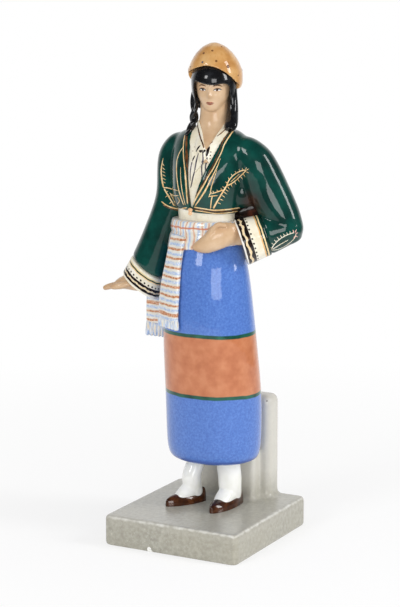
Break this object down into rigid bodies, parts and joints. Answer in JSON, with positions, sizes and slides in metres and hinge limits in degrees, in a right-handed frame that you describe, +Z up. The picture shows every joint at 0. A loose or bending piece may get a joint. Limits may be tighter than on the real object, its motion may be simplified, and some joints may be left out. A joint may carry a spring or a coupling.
{
  "type": "ceramic figurine",
  "caption": "Glazed ceramic figurine of a standing woman in folk dress, one hand on the waist and the other held out, on a rectangular plinth; stands on a shelf as decoration.",
  "frame": {"origin": "centre of the plinth's flat underside", "axes": "+Z up, -Y towards the plinth's front, which the figure faces, +X towards the figure's left side"},
  "size_m": [0.1307, 0.095, 0.2995],
  "materials": {
    "plinth": "mottled grey glaze",
    "shoes": "glossy brown glaze",
    "stockings": "glossy white glaze",
    "skirt": "glossy blue glaze with an orange band between green lines",
    "sash": "cream glaze with painted orange and blue stripes",
    "cream": "glossy cream glaze",
    "skin": "glossy skin-coloured glaze with a painted face",
    "green": "glossy dark green glaze with painted cream and brown trim",
    "clasp": "glossy peach glaze",
    "web": "glossy dark brown glaze",
    "hair": "glossy black glaze",
    "cap": "ochre glaze with brown dots"
  },
  "bodies": {
    "root": {"plinth": "plinth", "support_post": "plinth", "right_shoe": "shoes", "left_shoe": "shoes", "right_leg": "stockings", "left_leg": "stockings", "skirt": "skirt", "sash_wrap": "sash", "blouse": "cream", "collar": "cream", "head": "skin", "jacket": "green", "jacket_clasp": "clasp", "right_sleeve": "green", "left_sleeve": "green", "right_cuff": "cream", "left_cuff": "cream", "right_hand": "skin", "left_hand": "skin", "sash_front_end": "sash", "sash_rear_end": "sash", "arm_web": "web", "hair": "hair", "right_braid": "hair", "left_lock": "hair", "cap": "cap"}
  },
  "joints": []
}
